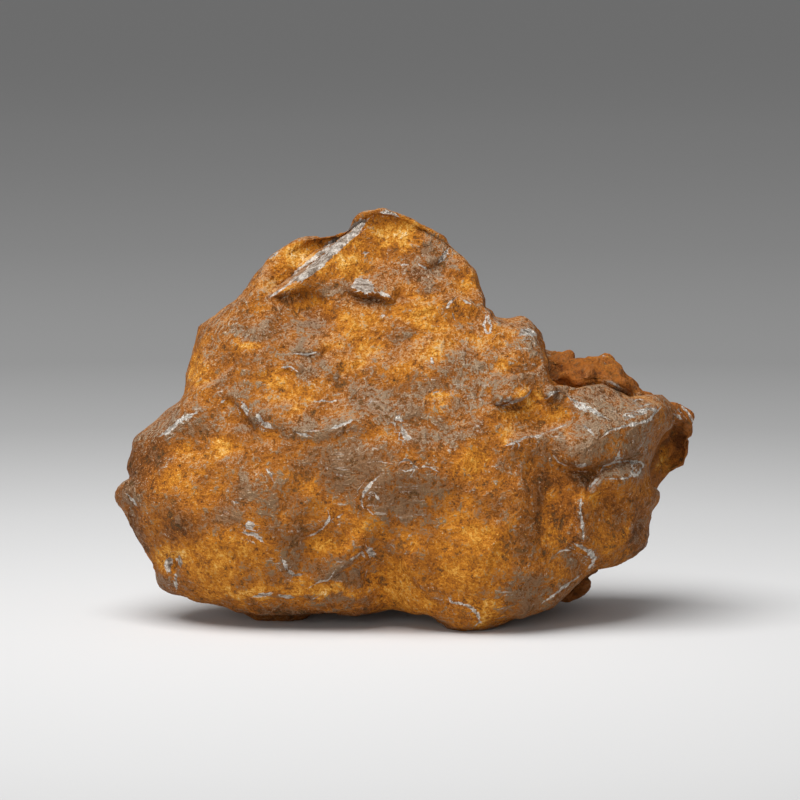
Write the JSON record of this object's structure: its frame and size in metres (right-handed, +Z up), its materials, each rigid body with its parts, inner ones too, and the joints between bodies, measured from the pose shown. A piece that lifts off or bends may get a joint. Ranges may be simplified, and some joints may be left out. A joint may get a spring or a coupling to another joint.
{
  "type": "iron meteorite",
  "caption": "Hand-sized iron meteorite: a rusty natural lump of metal with thumb-like hollows, a sharp lip, a chipped block and a rough crust lobe, resting on worn flat feet.",
  "frame": {"origin": "on the ground, under the centre of the bounding box", "axes": "+Z up as it rests, +X to the right along the longest way, the broad face looks along -Y"},
  "size_m": [0.1316, 0.0706, 0.092],
  "materials": {
    "weathered_iron": "natural iron: orange and ochre rust mottled with brown-grey metallic patina, bare silver metal on worn edges, rough red-brown crust at the right rear"
  },
  "bodies": {
    "root": {"meteorite": "weathered_iron"}
  },
  "joints": []
}
